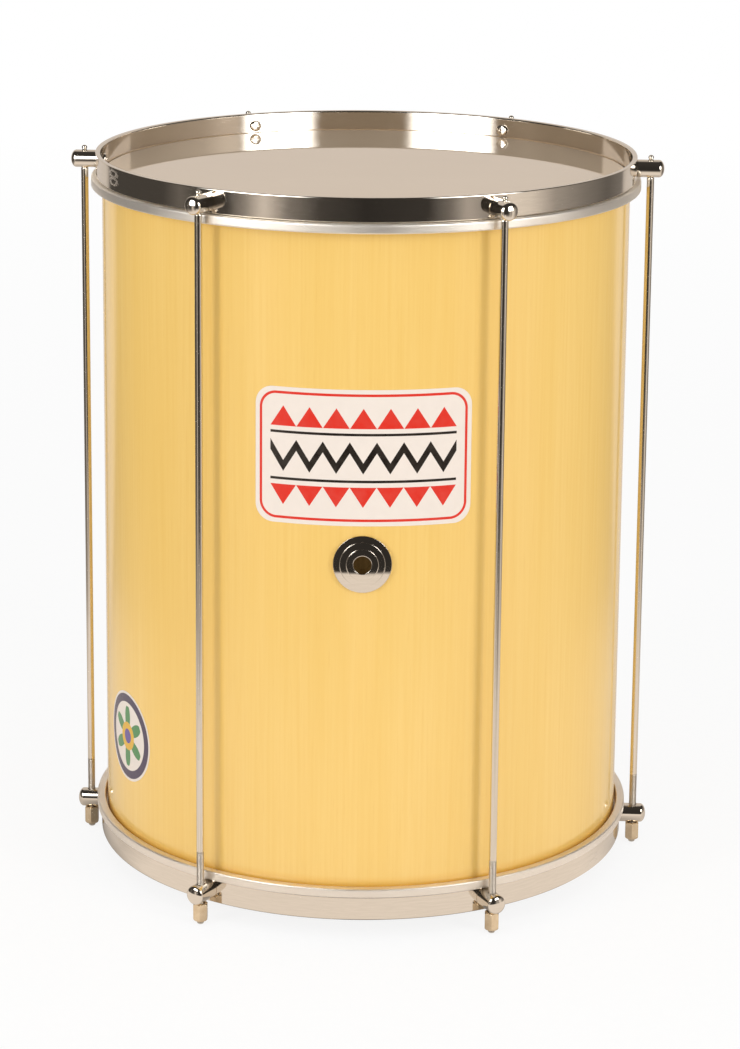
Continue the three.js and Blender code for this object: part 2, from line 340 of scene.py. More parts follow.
def noise(mat, stretch, detail, roughness=0.5, distortion=0.0):
    """Noise with this many waves to the metre along each axis."""
    inputs = {"Vector": place(mat, stretch), "Scale": 1.0, "Detail": detail}
    inputs.update({"Roughness": roughness, "Distortion": distortion})
    return add(mat, "ShaderNodeTexNoise", inputs).outputs["Fac"]


def spread(mat, value, low, high, to_low, to_high):
    """low to high becomes to_low to to_high, and stays there beyond."""
    inputs = {"Value": value, "From Min": low, "From Max": high}
    inputs.update({"To Min": to_low, "To Max": to_high})
    return add(mat, "ShaderNodeMapRange", inputs).outputs[0]


def ramp(mat, fac, low, high):
    """From one colour to another, each given as (position, colour)."""
    node = add(mat, "ShaderNodeValToRGB", {"Fac": fac})
    for element, (position, color) in zip(node.color_ramp.elements, (low, high)):
        element.position = position
        element.color = (*color, 1)
    return node.outputs["Color"]


def mix(mat, fac, a, b):
    node = add(mat, "ShaderNodeMix", data_type="RGBA")
    put(mat, node.inputs["Factor"], fac)
    for socket, value in ((node.inputs[6], a), (node.inputs[7], b)):
        put(mat, socket, value if isinstance(value, bpy.types.NodeSocket) else (*value, 1))
    return node.outputs[2]


def bump(mat, height, strength, distance, normal=None):
    inputs = {"Height": height, "Strength": strength, "Distance": distance}
    if normal:
        inputs["Normal"] = normal
    return add(mat, "ShaderNodeBump", inputs).outputs[0]


def attribute(mat, name):
    return add(mat, "ShaderNodeAttribute", attribute_name=name).outputs["Fac"]


def srgb(r, g, b):
    """Linear colour from the 0 to 255 of a screen."""
    c = np.array([r, g, b]) / 255
    return tuple(np.where(c <= 0.04045, c / 12.92, ((c + 0.055) / 1.055) ** 2.4).tolist())


# Materials

NICKEL = (0.8, 0.735, 0.645)


def lacquered_veneer():
    """Pale yellow veneer under clear lacquer: faint upright grain, a few short pores, broad soft
    stripes, and a painted shade of deeper amber just above the bottom hoop.
    """
    mat = material(
        "lacquered_veneer", Roughness=0.14, IOR=1.5, Coat_Weight=0.3, Coat_Roughness=0.03
    )
    fine = noise(mat, (420, 420, 7), 3.0, 0.6)
    dashes = noise(mat, (900, 900, 40), 1.0)
    broad = noise(mat, (22, 22, 1.4), 2.0, 0.5, 0.4)
    base = ramp(mat, broad, (0.3, srgb(247, 205, 116)), (0.7, srgb(250, 210, 126)))
    grained = mix(mat, spread(mat, fine, 0.35, 0.75, 0, 0.5), base, srgb(242, 195, 100))
    pores = spread(mat, dashes, 0.64, 0.76, 0, 0.12)
    pored = mix(mat, pores, grained, srgb(228, 172, 80))
    # Painted shade: deeper amber fading out over the 8 mm above the bottom hoop, standing in for
    # shade and light bounced between shell and hoop.
    low, shade_height = BOTTOM_RIM + FLESH_TOP + FLESH_HEIGHT, 8.0
    hoop_shade = spread(mat, upright(mat), low * MM, (low + shade_height) * MM, 0.55, 0)
    surface(mat, "Base Color", mix(mat, hoop_shade, pored, srgb(238, 178, 66)))
    surface(mat, "Roughness", spread(mat, fine, 0.3, 0.7, 0.12, 0.17))
    waves = noise(mat, (14, 14, 5), 1.0)
    surface(mat, "Normal", bump(mat, fine, 0.01, 0.0004, bump(mat, waves, 0.03, 0.004)))
    return mat


def raw_veneer():
    """Bare wood on the inside of the shell."""
    mat = material("raw_veneer", Roughness=0.7)
    fine = noise(mat, (300, 300, 6), 4.0, 0.6)
    wood = ramp(mat, fine, (0.3, srgb(176, 138, 92)), (0.7, srgb(205, 168, 118)))
    surface(mat, "Base Color", wood)
    surface(mat, "Normal", bump(mat, fine, 0.2, 0.0005))
    return mat


def head_film():
    """Clear film over a pale coat, a little hazy and rippled."""
    mat = material("head_film", Roughness=0.03, IOR=1.45, Coat_Weight=0.5, Coat_Roughness=0.02)
    haze = noise(mat, (9, 9, 9), 3.0)
    coat = ramp(mat, haze, (0.3, (0.65, 0.495, 0.34)), (0.7, (0.68, 0.52, 0.36)))
    surface(mat, "Base Color", coat)
    surface(mat, "Roughness", spread(mat, haze, 0.3, 0.7, 0.02, 0.04))
    ripple = noise(mat, (7, 7, 7), 1.0)
    surface(mat, "Normal", bump(mat, ripple, 0.02, 0.003))
    return mat


def plated(name, rough, dent=0.03, streak=0.01, welds=(), raised=0.3):
    """Plated steel: faint polishing lines, slow dents, and rings at the heights where it was
    welded, round along = 0.
    """
    mat = material(name, Metallic=1.0)
    brushed = noise(mat, (60, 60, 900), 3.0, 0.6)
    slow = noise(mat, (26, 26, 12), 2.0)
    dark = tuple(c * 0.94 for c in NICKEL)
    surface(mat, "Base Color", ramp(mat, brushed, (0.3, dark), (0.7, NICKEL)))
    smudge = noise(mat, (90, 90, 110), 4.0, 0.65)
    surface(mat, "Roughness", spread(mat, smudge, 0.35, 0.75, rough * 0.7, rough * 2.0))
    normal = bump(mat, brushed, streak, 0.0004, bump(mat, slow, dent, 0.003))
    for height in welds:
        up = calc(mat, "DIVIDE", calc(mat, "SUBTRACT", upright(mat), height * MM), MM)
        across = calc(mat, "MULTIPLY", attribute(mat, "along"), WELD_DRAWN)
        uneven = spread(mat, noise(mat, (400, 400, 400), 3.0, 0.7), 0.3, 0.7, -0.9, 0.9)
        reach = calc(mat, "ADD", length(mat, up, across), uneven)
        off = calc(mat, "ABSOLUTE", calc(mat, "SUBTRACT", reach, WELD_RADIUS))
        ring = spread(mat, off, 0, 1.0, 1, 0)
        normal = bump(mat, ring, raised, 0.0008, normal)
    surface(mat, "Normal", normal)
    return mat


def rolled_aluminium():
    """Satin aluminium with the slanted marks of a crimped joint at along = 0."""
    mat = material("rolled_aluminium", Metallic=0.85)
    lines = noise(mat, (40, 40, 1400), 3.0, 0.6)
    cloud = noise(mat, (30, 30, 60), 3.0)
    satin = ramp(mat, cloud, (0.3, (0.88, 0.81, 0.72)), (0.7, (0.92, 0.86, 0.77)))
    surface(mat, "Base Color", satin)
    surface(mat, "Roughness", spread(mat, cloud, 0.3, 0.7, 0.38, 0.46))
    reach = calc(mat, "ABSOLUTE", attribute(mat, "along"))
    teeth = calc(mat, "COSINE", calc(mat, "MULTIPLY", reach, 1.3))
    teeth = calc(mat, "MULTIPLY", teeth, spread(mat, reach, 5, 8, 1, 0))
    surface(mat, "Normal", bump(mat, teeth, 0.12, 0.0005, bump(mat, lines, 0.05, 0.0004)))
    return mat


def threaded_steel():
    """Drawn steel, duller and darker where the thread is, below z = THREAD_TOP."""
    mat = material("rod_steel", Metallic=1.0)
    threaded = spread(mat, upright(mat), (THREAD_TOP - 1.5) * MM, THREAD_TOP * MM, 1, 0)
    streak = noise(mat, (700, 700, 14), 3.0, 0.6)
    spots = noise(mat, (260, 260, 260), 2.0)
    drawn = ramp(mat, streak, (0.3, (0.70, 0.64, 0.55)), (0.7, (0.82, 0.76, 0.67)))
    dull = calc(mat, "MULTIPLY", threaded, 0.28)
    surface(mat, "Base Color", mix(mat, dull, drawn, (0.2, 0.17, 0.16)))
    surface(mat, "Roughness", calc(mat, "ADD", dull, spread(mat, spots, 0.4, 0.7, 0.09, 0.17)))
    surface(mat, "Normal", bump(mat, streak, 0.05, 0.0003))
    return mat


def nickel_nut():
    """Plated steel, yellower and cloudy."""
    mat = material("nut_steel", Metallic=1.0)
    cloud = noise(mat, (170, 170, 170), 3.0)
    yellow = ramp(mat, cloud, (0.3, (0.74, 0.59, 0.4)), (0.7, (0.84, 0.7, 0.5)))
    surface(mat, "Base Color", yellow)
    surface(mat, "Roughness", spread(mat, cloud, 0.3, 0.7, 0.1, 0.2))
    surface(mat, "Normal", bump(mat, cloud, 0.03, 0.0005))
    return mat


def label_coordinates(mat):
    """The label's own u and v in millimetres from its middle."""
    uv = add(mat, "ShaderNodeUVMap", uv_map="label").outputs[0]
    split = add(mat, "ShaderNodeSeparateXYZ", {0: uv})
    return split.outputs[0], split.outputs[1]


def within(mat, value, low, high):
    """1 where value lies between low and high, with a soft edge."""
    soft = 0.12
    up = spread(mat, value, low - soft, low + soft, 0, 1)
    down = spread(mat, value, high - soft, high + soft, 1, 0)
    return calc(mat, "MULTIPLY", up, down)


def print_finish(mat, color):
    """Glossy paper, a little worn and browned."""
    wear = noise(mat, (120, 120, 120), 4.0)
    browned = spread(mat, wear, 0.35, 0.8, 0, 0.06)
    surface(mat, "Base Color", mix(mat, browned, color, (0.5, 0.42, 0.33)))
    surface(mat, "Roughness", spread(mat, wear, 0.3, 0.7, 0.16, 0.26))
    surface(mat, "Normal", bump(mat, wear, 0.03, 0.0004))


def panel_print():
    """Cream panel: a red border, a dark zigzag between two lines, and rows of red teeth."""
    mat = material("panel_print", IOR=1.5)
    u, v = label_coordinates(mat)
    across, up = calc(mat, "ABSOLUTE", u), calc(mat, "ABSOLUTE", v)
    field = within(mat, across, -1, 77)
    wave = calc(mat, "PINGPONG", u, 11.0)
    middle = calc(mat, "SUBTRACT", calc(mat, "MULTIPLY", wave, 1.6), 8.8)
    zigzag = calc(mat, "ABSOLUTE", calc(mat, "SUBTRACT", v, middle))
    black = calc(mat, "MAXIMUM", within(mat, zigzag, -1, 4.6), within(mat, up, 18.5, 20.7))
    black = calc(mat, "MULTIPLY", black, field)
    foot = 24.5
    tooth = calc(mat, "ADD", calc(mat, "SUBTRACT", up, foot), calc(mat, "MULTIPLY", wave, 1.55))
    red = calc(mat, "MULTIPLY", within(mat, tooth, -40, 17), within(mat, up, foot, 43))
    red = calc(mat, "MULTIPLY", red, field)
    inset = 18
    corner_u = calc(mat, "MAXIMUM", calc(mat, "SUBTRACT", across, PANEL[2] - inset), 0)
    corner_v = calc(mat, "MAXIMUM", calc(mat, "SUBTRACT", up, PANEL[3] - inset), 0)
    border = within(mat, length(mat, corner_u, corner_v), 12.2, 14.4)
    red = calc(mat, "MAXIMUM", red, border)
    color = mix(mat, red, srgb(244, 231, 219), srgb(229, 50, 34))
    print_finish(mat, mix(mat, black, color, srgb(34, 27, 22)))
    return mat


def roundel_print():
    """Round label: a dark rim, a pale ring, and a rosette of green petals with a yellow middle."""
    mat = material("roundel_print", IOR=1.5)
    u, v = label_coordinates(mat)
    reach = length(mat, u, v)
    turn = calc(mat, "MULTIPLY", calc(mat, "ARCTAN2", v, u), 3.0)
    petal = calc(mat, "MULTIPLY", calc(mat, "ABSOLUTE", calc(mat, "SINE", turn)), 28.0)
    green = within(mat, calc(mat, "SUBTRACT", reach, petal), -60, 0)
    green = calc(mat, "MULTIPLY", green, within(mat, reach, -1, 27))
    color = mix(mat, green, srgb(238, 226, 214), srgb(78, 140, 84))
    color = mix(mat, within(mat, reach, -1, 12.5), color, srgb(232, 180, 52))
    color = mix(mat, within(mat, reach, -1, 6.5), color, srgb(98, 78, 150))
    color = mix(mat, within(mat, reach, 30.5, 37.6), color, srgb(74, 62, 86))
    print_finish(mat, color)
    return mat


# Pieces


def at_top(profile):
    """Corners (radius, depth from the rim edge, fillet) as (radius, z, fillet) at the top rim."""
    return [[r, TOP_RIM - depth, *more] for r, depth, *more in profile]


def at_bottom(profile):
    """The same at the bottom rim."""
    return [[r, BOTTOM_RIM + depth, *more] for r, depth, *more in profile]


def lug_azimuths():
    """In degrees from -Y, all the way round."""
    return [LUG_AZIMUTH + 360 / LUG_COUNT * i for i in range(LUG_COUNT)]


def shell():
    """A tube of radius SHELL_RADIUS with rounded bearing edges, in rows about 20 mm apart, and
    its vent hole. Its inside is bare.
    """
    edge = HEAD_RECESS + FILM + GAP
    inner = SHELL_RADIUS - SHELL_WALL
    low, high = BOTTOM_RIM + edge, TOP_RIM - edge
    up = np.linspace(low + 4, high - 4, 31)
    outside = [(SHELL_RADIUS, z) for z in up]
    inside = [(inner, z) for z in up[::-1]]
    crown = ((0, 1.6), (0.5, 0.5), (1.6, 0))
    crown_high = [(SHELL_RADIUS - inset, high - drop) for inset, drop in crown]
    crown_low = [(r, low + high - z) for r, z in reversed(crown_high)]
    profile = outside + crown_high + inside + crown_low
    obj = bare_object("shell_skin", *lathe(profile, RING_TURNS))
    vertices, faces = plug(SLEEVE_RADIUS + GAP, inner - 8, SHELL_RADIUS + 8, 48)
    cut(obj, (radial(vertices, VENT_HEIGHT), faces))
    piece(obj, "drum", lacquered_veneer(), "shell")
    obj.data.materials.append(raw_veneer())
    middles = np.zeros(len(obj.data.polygons) * 3, np.float32)
    obj.data.polygons.foreach_get("center", middles)
    x, y, _ = middles.reshape(-1, 3).T / MM
    within_wall = np.hypot(x, y) < SHELL_RADIUS - SHELL_WALL / 2
    obj.data.polygons.foreach_set("material_index", within_wall.astype(int))


def lug_holes(height):
    """Plugs through the hoop, one behind each post."""
    vertices, faces = plug(SCREW_SHANK + GAP, HOOP_INNER - 6, HOOP_OUTER + 6, 24)
    return [(turned(radial(vertices, height), a), faces) for a in lug_azimuths()]


def counter_hoop(end, side, body, height, weld, raised):
    """Flat bar bent round, with softly rounded edges and a hole behind each post."""
    profile = [
        (HOOP_INNER, 0, 1.5),
        (HOOP_OUTER, 0, 1.0),
        (HOOP_OUTER, HOOP_HEIGHT, 1.1),
        (HOOP_INNER, HOOP_HEIGHT, 1.3),
    ]
    outline = braced(filleted(side(profile), 6))
    obj = bare_object(f"{end}_band", *lathe(outline, RING_TURNS))
    cut(obj, *lug_holes(height))
    along_from(obj, weld[0], HOOP_OUTER)
    heights = [height for _, height in side([(0, depth) for depth in weld[1:]])]
    mat = plated(f"{end}_band_plate", 0.07, welds=heights, raised=raised)
    piece(obj, body, mat, f"{end}_counter_hoop")


def flesh_hoop(end, side, body, joint, mat):
    """A folded channel: a ledge, a rounded outer wall and a rolled lower edge that grips the
    film.
    """
    low = FLESH_TOP + FLESH_HEIGHT
    wall = FLESH_INNER + FLESH_SHEET
    lip = wall + 2 * GAP + FILM
    step = FLESH_TOP + FILM + GAP
    profile = [
        (lip, FLESH_TOP, 0.3),
        (FLESH_OUTER, FLESH_TOP, 1.6),
        (FLESH_OUTER, low, 1.4),
        (FLESH_INNER, low, 1.1),
        (FLESH_INNER, step, 0.4),
        (wall, step, 0.3),
        (wall, low - FLESH_SHEET),
        (FLESH_OUTER - FLESH_SHEET, low - FLESH_SHEET, 1.2),
        (FLESH_OUTER - FLESH_SHEET, FLESH_TOP + FLESH_SHEET, 0.4),
        (lip, FLESH_TOP + FLESH_SHEET, 0.3),
    ]
    outline = braced(filleted(side(profile), 6))
    obj = bare_object(f"{end}_channel", *lathe(outline, RING_TURNS))
    along_from(obj, joint, FLESH_OUTER, shear=1.6, height=outline[:, 1].mean())
    piece(obj, body, mat, f"{end}_flesh_hoop")


def film(end, side, body, mat):
    """A flat head with a rounded collar that folds out over the flesh hoop and down inside it."""
    low = FLESH_TOP + FLESH_HEIGHT - FLESH_SHEET - FILM_SHORT - GAP
    drop = FLESH_INNER + FLESH_SHEET + GAP + FILM
    back = HEAD_RECESS + FILM
    profile = [
        (0, HEAD_RECESS),
        (COLLAR, HEAD_RECESS, 2.2),
        (COLLAR, FLESH_TOP),
        (drop, FLESH_TOP),
        (drop, low),
        (drop - FILM, low),
        (drop - FILM, FLESH_TOP + FILM),
        (COLLAR - FILM, FLESH_TOP + FILM),
        (COLLAR - FILM, back, 1.8),
        (0, back),
    ]
    outline = braced(filleted(side(profile), 6))
    outline = outline[: np.flatnonzero(outline[:, 0] < 1e-6)[1] + 1]
    obj = bare_object(f"{end}_skin", *lathe(outline, RING_TURNS))
    piece(obj, body, mat, f"{end}_head")


def vent(mat):
    """Stepped disc of three flat lands on a sleeve. Its back follows the shell at radius R, as
    sqrt(R^2 - x^2) from the drum's axis.
    """
    front = SHELL_RADIUS + GAP
    back = front - 2.6
    lands = [(VENT_RADIUS, front + 1.1), (18.6, front + 2.2), (13.2, front + 3.3)]
    corners = [(SLEEVE_RADIUS, SLEEVE_BACK, 0.4), (SLEEVE_RADIUS, back), (VENT_RADIUS, back)]
    for (radius, face), (inner, _) in zip(lands, lands[1:]):
        corners += [(radius, face, 0.2), (inner, face, 0.15)]
    corners += [(*lands[-1], 0.2), (VENT_BORE, front + 3.3, 0.35), (VENT_BORE, SLEEVE_BACK, 0.3)]
    vertices, faces = lathe(braced(filleted(corners, 5)), 96)
    x, y, depth = vertices.T
    flange = (np.hypot(x, y) > SLEEVE_RADIUS + 0.5) & (depth < back + 1.8)
    root = np.abs(depth - back) < 0.1
    vertices[:, 2] = np.where(flange | root, np.sqrt(front**2 - x**2), depth)
    obj = bare_object("vent_disc", radial(vertices, VENT_HEIGHT), faces)
    piece(obj, "drum", mat, "vent_grommet", sharp=50)


def post_shape(radius, hole):
    """A round post whose dome is a quarter ellipse. Its rod hole is upright, its screw hole along
    its axis.
    """
    t = np.linspace(0, math.pi / 2, 18)
    dome = np.stack([radius * np.cos(t), POST_TIP - POST_DOME + POST_DOME * np.sin(t)], axis=-1)
    dome[-1, 0] = 0
    side = [POST_BASE + 0.5, POST_BASE + 0.8, POST_TIP - POST_DOME - 0.3]
    rows = [(0, POST_BASE), (radius - 0.5, POST_BASE), *((radius, h) for h in side), *dome]
    screw = plug(SCREW_SHANK + GAP, POST_BASE - 2, POST_BASE + SCREW_REACH + GAP, 24)
    vertices, faces = plug(hole, -12, 12, 28)
    return lathe(rows, 64), screw, (vertices - [0, ROD_CIRCLE, 0], faces)


def copies(blank, prefix, name, body, height, mat):
    """One copy of a finished blank at each lug, with its place in its mesh."""
    for number, azimuth in enumerate(lug_azimuths(), 1):
        mesh = blank.data.copy()
        points = turned(coordinates(blank) + [0, 0, height], azimuth) * MM
        mesh.vertices.foreach_set("co", points.astype(np.float32).ravel())
        mesh.update()
        made = linked(f"{prefix}_{name}_{number}", mesh)
        piece(made, body, mat, f"{name}_{number}")
    bpy.data.objects.remove(blank)


def posts(end, body, height, radius, hole, mat):
    (vertices, faces), screw, rod = post_shape(radius, hole)
    obj = bare_object("post_blank", radial(vertices), faces)
    cut(obj, (radial(screw[0]), screw[1]), rod)
    copies(obj, "round", f"{end}_post", body, height, mat)


def recess(wide, tall, low, high):
    """One arm of a cross recess: a block that narrows as it goes in."""
    x, y, z = np.meshgrid((-wide, wide), (-tall, tall), (low, high), indexing="ij")
    corners = np.stack([x.T, y.T, z.T], axis=-1).reshape(-1, 3)
    corners[4:, :2] *= 0.55
    sides = [(0, 2, 3, 1), (4, 5, 7, 6), (0, 1, 5, 4), (1, 3, 7, 5), (3, 2, 6, 7), (2, 0, 4, 6)]
    return radial(corners), sides


def screws(end, body, height, mat):
    """A domed head with a cross recess, and a shank that goes out through the hoop into the
    post. The head's edge is a quarter circle.
    """
    seat = HOOP_INNER * math.cos(math.pi / CAD_RING_SEGMENTS) - GAP
    shank = POST_BASE + SCREW_REACH
    t = np.linspace(0, math.pi / 2, 7)
    bend = 1.4
    edge = np.stack([SCREW_HEAD - bend + bend * np.sin(t), seat - 0.8 - bend * np.cos(t)], axis=-1)
    rows = [(0, seat - 2.6), (1.6, seat - 2.55), (3.0, seat - 2.36), *edge, (SCREW_HEAD, seat)]
    rows += [(SCREW_SHANK, seat), (SCREW_SHANK, shank), (0, shank)]
    vertices, faces = lathe(rows, 36)
    obj = bare_object("screw_blank", radial(vertices), faces)
    cut(obj, *(recess(*arm, seat - 3.2, seat - 1.5) for arm in ((2.6, 0.42), (0.42, 2.6))))
    copies(obj, "domed", f"{end}_screw", body, height, mat)


def rods(mat):
    """r(t, z) = R - depth * v(z / pitch - t / 2 pi), with v a cut triangle wave, below the
    thread's end. The button on top is part of an ellipse.
    """
    turns = 20
    t = np.linspace(0, 2 * math.pi, turns, endpoint=False)
    shoulder = TOP_POST - TOP_POST_RADIUS - GAP
    seat = TOP_POST + TOP_POST_RADIUS + GAP
    thread = np.arange(2.0, THREAD_TOP, THREAD_PITCH / 8)
    plain = [*np.linspace(THREAD_TOP + 0.2, shoulder - 0.9, 12), shoulder - 0.35]
    foot = ((0, 0), (0.62, 0), (0.82, 0.45), (0.95, 1.2))
    rows = [(ROD_RADIUS * share, z) for share, z in foot]
    rows += [(ROD_RADIUS, z) for z in (*thread, *plain)]
    rows += [(ROD_RADIUS - 0.3, shoulder), (TENON_RADIUS, shoulder), (TENON_RADIUS, seat)]
    s = np.linspace(-0.66, math.pi / 2 - 0.12, 9)
    half = BUTTON_HEIGHT / 2
    button = np.stack([BUTTON_RADIUS * np.cos(s), seat + half + half * np.sin(s)], axis=-1)
    profile = np.array([*rows, *button, (0.0, seat + BUTTON_HEIGHT)])
    r, z = np.repeat(profile[:, :1], turns, 1), np.repeat(profile[:, 1:], turns, 1)
    phase = z / THREAD_PITCH - t / (2 * math.pi)
    groove = np.clip(np.abs((phase % 1) * 2 - 1) * 2.0 - 1.0, 0, 1)
    fade = np.clip((THREAD_TOP - z) / 2.0, 0, 1) * (z > 1) * (r > 0)
    r = r - THREAD_DEPTH * groove * fade
    points = np.stack([r * np.cos(t), r * np.sin(t) - ROD_CIRCLE, z], axis=-1)
    vertices, faces = grid(points, close_rows=False)
    for number, azimuth in enumerate(lug_azimuths(), 1):
        obj = bare_object(f"threaded_rod_{number}", turned(vertices, azimuth), faces)
        piece(obj, "top_rim", mat, f"rod_{number}", sharp=60)


def nuts(mat):
    """A long hexagon met by a turned profile, as the soft minimum (a^-p + b^-p)^(-1/p)."""
    t = np.linspace(0, 2 * math.pi, 96, endpoint=False)
    hexagon = NUT_FLAT / np.cos((t % (math.pi / 3)) - math.pi / 6)
    bore, face, clear = ROD_RADIUS + GAP, 4.4, 7.6
    low, high = NUT_BOTTOM, NUT_BOTTOM + NUT_LENGTH
    taper = ((face, 0), (5.0, 0.15), (5.6, 0.5), (6.2, 1.1), (6.7, 1.8))
    shoulder = ((6.7, 1.1), (6.1, 0.7), (5.2, 0.2), (4.6, 0))
    rows = [(bore, low), (bore + 0.4, low)] + [(r, low + rise) for r, rise in taper]
    rows += [(clear, z) for z in np.linspace(low + 2.6, high - 1.6, 7)]
    rows += [(r, high - drop) for r, drop in shoulder] + [(bore + 0.4, high), (bore, high)]
    profile = np.array(rows)
    r, z = profile[:, :1], profile[:, 1:] + 0 * t
    power = 40
    radius = np.where(r > face, (r**-power + hexagon**-power) ** (-1 / power), r + 0 * t)
    points = np.stack([radius * np.cos(t), radius * np.sin(t) - ROD_CIRCLE, z], axis=-1)
    vertices, faces = grid(points, close_rows=True)
    for number, azimuth in enumerate(lug_azimuths(), 1):
        obj = bare_object(f"hex_nut_{number}", turned(vertices, azimuth), faces)
        piece(obj, f"nut_{number}_turning", mat, f"nut_{number}", sharp=30)


def panel_outline():
    """The panel's rounded rectangle, with its straights in parts of about 6 mm."""
    wide, tall, r = PANEL[2], PANEL[3], PANEL_CORNER
    corners = [(-wide, -tall, r), (wide, -tall, r), (wide, tall, r), (-wide, tall, r)]
    outline = filleted(corners, 10)
    side = np.roll(outline, -1, axis=0) - outline
    parts = np.maximum(1, (np.linalg.norm(side, axis=1) / 6).astype(int))
    first = np.repeat(np.cumsum(parts) - parts, parts)
    share = (np.arange(parts.sum()) - first) / np.repeat(parts, parts)
    return np.repeat(outline, parts, axis=0) + np.repeat(side, parts, axis=0) * share[:, None]


def roundel_outline():
    t = np.linspace(0, 2 * math.pi, 72, endpoint=False)
    return np.stack([np.cos(t), np.sin(t)], axis=-1) * ROUNDEL[2]


def label(name, outline, azimuth, height, mat):
    """A thin sheet on the shell: rings of the outline drawn in to its middle and wrapped round at
    radius R, so (u, v) becomes (R sin(u / R), -R cos(u / R), v). Its UV map holds u and v.
    """
    u, v = outline.T
    rings = np.linspace(1, 0, 15)
    share = np.concatenate([rings[::-1], rings])[:, None]
    radius = SHELL_RADIUS + np.repeat([0.05, 0.2], len(rings))[:, None]
    a = np.radians(azimuth) + u * share / SHELL_RADIUS
    skin = np.stack([radius * np.sin(a), -radius * np.cos(a), height + v * share], axis=-1)
    vertices, faces = grid(skin, close_rows=False)
    obj = bare_object(name, vertices, faces)
    x, y, z = coordinates(obj).T
    turn = np.arctan2(x, -y) - math.radians(azimuth)
    flat = np.stack([turn * SHELL_RADIUS, z - height], axis=-1)
    corners = np.zeros(len(obj.data.loops), int)
    obj.data.loops.foreach_get("vertex_index", corners)
    layer = obj.data.uv_layers.new(name="label")
    layer.data.foreach_set("uv", flat[corners].astype(np.float32).ravel())
    piece(obj, "drum", mat)


def make_drum():
    chrome = plated("chrome_plate", 0.05, dent=0.01, streak=0.004)
    polished = plated("vent_plate", 0.014, dent=0.003, streak=0.001)
    steel = plated("screw_steel", 0.08, dent=0.01, streak=0.004)
    aluminium = rolled_aluminium()
    skin = head_film()
    rod = threaded_steel()
    nut = nickel_nut()
    shell()
    film("top", at_top, "top_rim", skin)
    film("bottom", at_bottom, "drum", skin)
    flesh_hoop("top", at_top, "top_rim", TOP_JOINT, aluminium)
    flesh_hoop("bottom", at_bottom, "drum", BOTTOM_JOINT, aluminium)
    counter_hoop("top", at_top, "top_rim", TOP_POST, TOP_WELD, 0.3)
    counter_hoop("bottom", at_bottom, "drum", BOTTOM_POST, BOTTOM_WELD, 0.2)
    vent(polished)
    posts("top", "top_rim", TOP_POST, TOP_POST_RADIUS, TENON_RADIUS + 0.35, chrome)
    posts("bottom", "drum", BOTTOM_POST, BOTTOM_POST_RADIUS, ROD_RADIUS + 0.35, chrome)
    screws("top", "top_rim", TOP_POST, steel)
    screws("bottom", "drum", BOTTOM_POST, steel)
    rods(rod)
    nuts(nut)
    label("label_panel", panel_outline(), PANEL[0], PANEL[1], panel_print())
    label("label_roundel", roundel_outline(), ROUNDEL[0], ROUNDEL[1], roundel_print())
    ring_nut = frame["nodes"]["vent_ring_nut"]
    ring_nut.data.materials.clear()
    ring_nut.data.materials.append(steel)


# Studio, in metres. Azimuths are in degrees from -Y towards +X.

# Lamps: azimuth, distance, height, then the panel's width and height, and watts
SOFTBOXES = {
    "left_softbox": (-50, 2.8, 1.3, 0.55, 1.8, 22.8),
    "right_softbox": (48, 2.8, 1.3, 0.55, 1.8, 24.2),
    "overhead": (0, 0.4, 2.3, 1.2, 1.2, 5.2),
}
AIMED_AT = 0.3
INSIDE_WATTS = 0.2
WORLD_LIGHT = 0.6

# What the metal mirrors of them: azimuth, distance, low edge, high edge, width, glow
SOFTBOX_FACES = {
    "left_softbox_face": (-43, 1.05, 0.44, 1.48, 1.12, 7.5),
    "right_softbox_face": (44, 1.25, 0.46, 1.57, 1.12, 7.0),
}

# What the metal mirrors of the room: how far behind the drum the paper turns up, the height of
# the ceiling, the radius of the wall, and what they glow
PAPER_BEHIND = 1.36
CEILING = 2.6
ROOM_RADIUS = 3.0
PAPER_GLOW = 0.93
CEILING_GLOW = 0.05
WALL_TOP_GLOW = 0.04
WARM = (1.0, 0.9, 0.81, 1)

# The room past the paper: azimuth and glow
ROOM = (
    (-180, 0.68),
    (-136, 0.68),
    (-133, 0.07),
    (-90, 0.07),
    (-80, 0.16),
    (-70, 0.07),
    (-57, 0.065),
    (-48, 0.36),
    (-41, 0.8),
    (-31, 0.25),
    (-18, 0.07),
    (0, 0.035),
    (25, 0.05),
    (34, 0.2),
    (41, 0.5),
    (50, 0.3),
    (60, 0.9),
    (70, 0.8),
    (82, 0.4),
    (100, 0.24),
    (118, 0.14),
    (133, 0.22),
    (136, 0.68),
    (180, 0.68),
)

# The paper on the floor: distance from the drum's axis, and how much of its glow is left there.
# Within about 0.24 m of the axis the low values are the drum's shadow, painted
PAPER = (
    (0.02, 0.1),
    (0.2, 0.12),
    (0.235, 0.3),
    (0.262, 1),
    (0.3, 1),
    (0.45, 1),
    (0.6, 1),
    (0.72, 0.9),
    (0.82, 0.73),
    (0.93, 0.46),
    (1.05, 0.3),
    (1.2, 0.2),
    (1.255, 0.17),
    (1.265, 0.16),
    (1.5, 0.08),
    (1.9, 0),
    (3, 0),
)


def seen_directly(tree):
    """1 for camera, glossy and transmission rays."""
    path = add(tree, "ShaderNodeLightPath")
    both = calc(tree, "MAXIMUM", path.outputs["Is Camera Ray"], path.outputs["Is Glossy Ray"])
    return calc(tree, "MAXIMUM", both, path.outputs["Is Transmission Ray"])


def blended(mat, share, first, second):
    """Two shaders, with this share of the second, as the material's or the world's surface."""
    blend = add(mat, "ShaderNodeMixShader", {0: share})
    put(mat, blend.inputs[1], first.outputs[0])
    put(mat, blend.inputs[2], second.outputs[0])
    return blend.outputs[0]


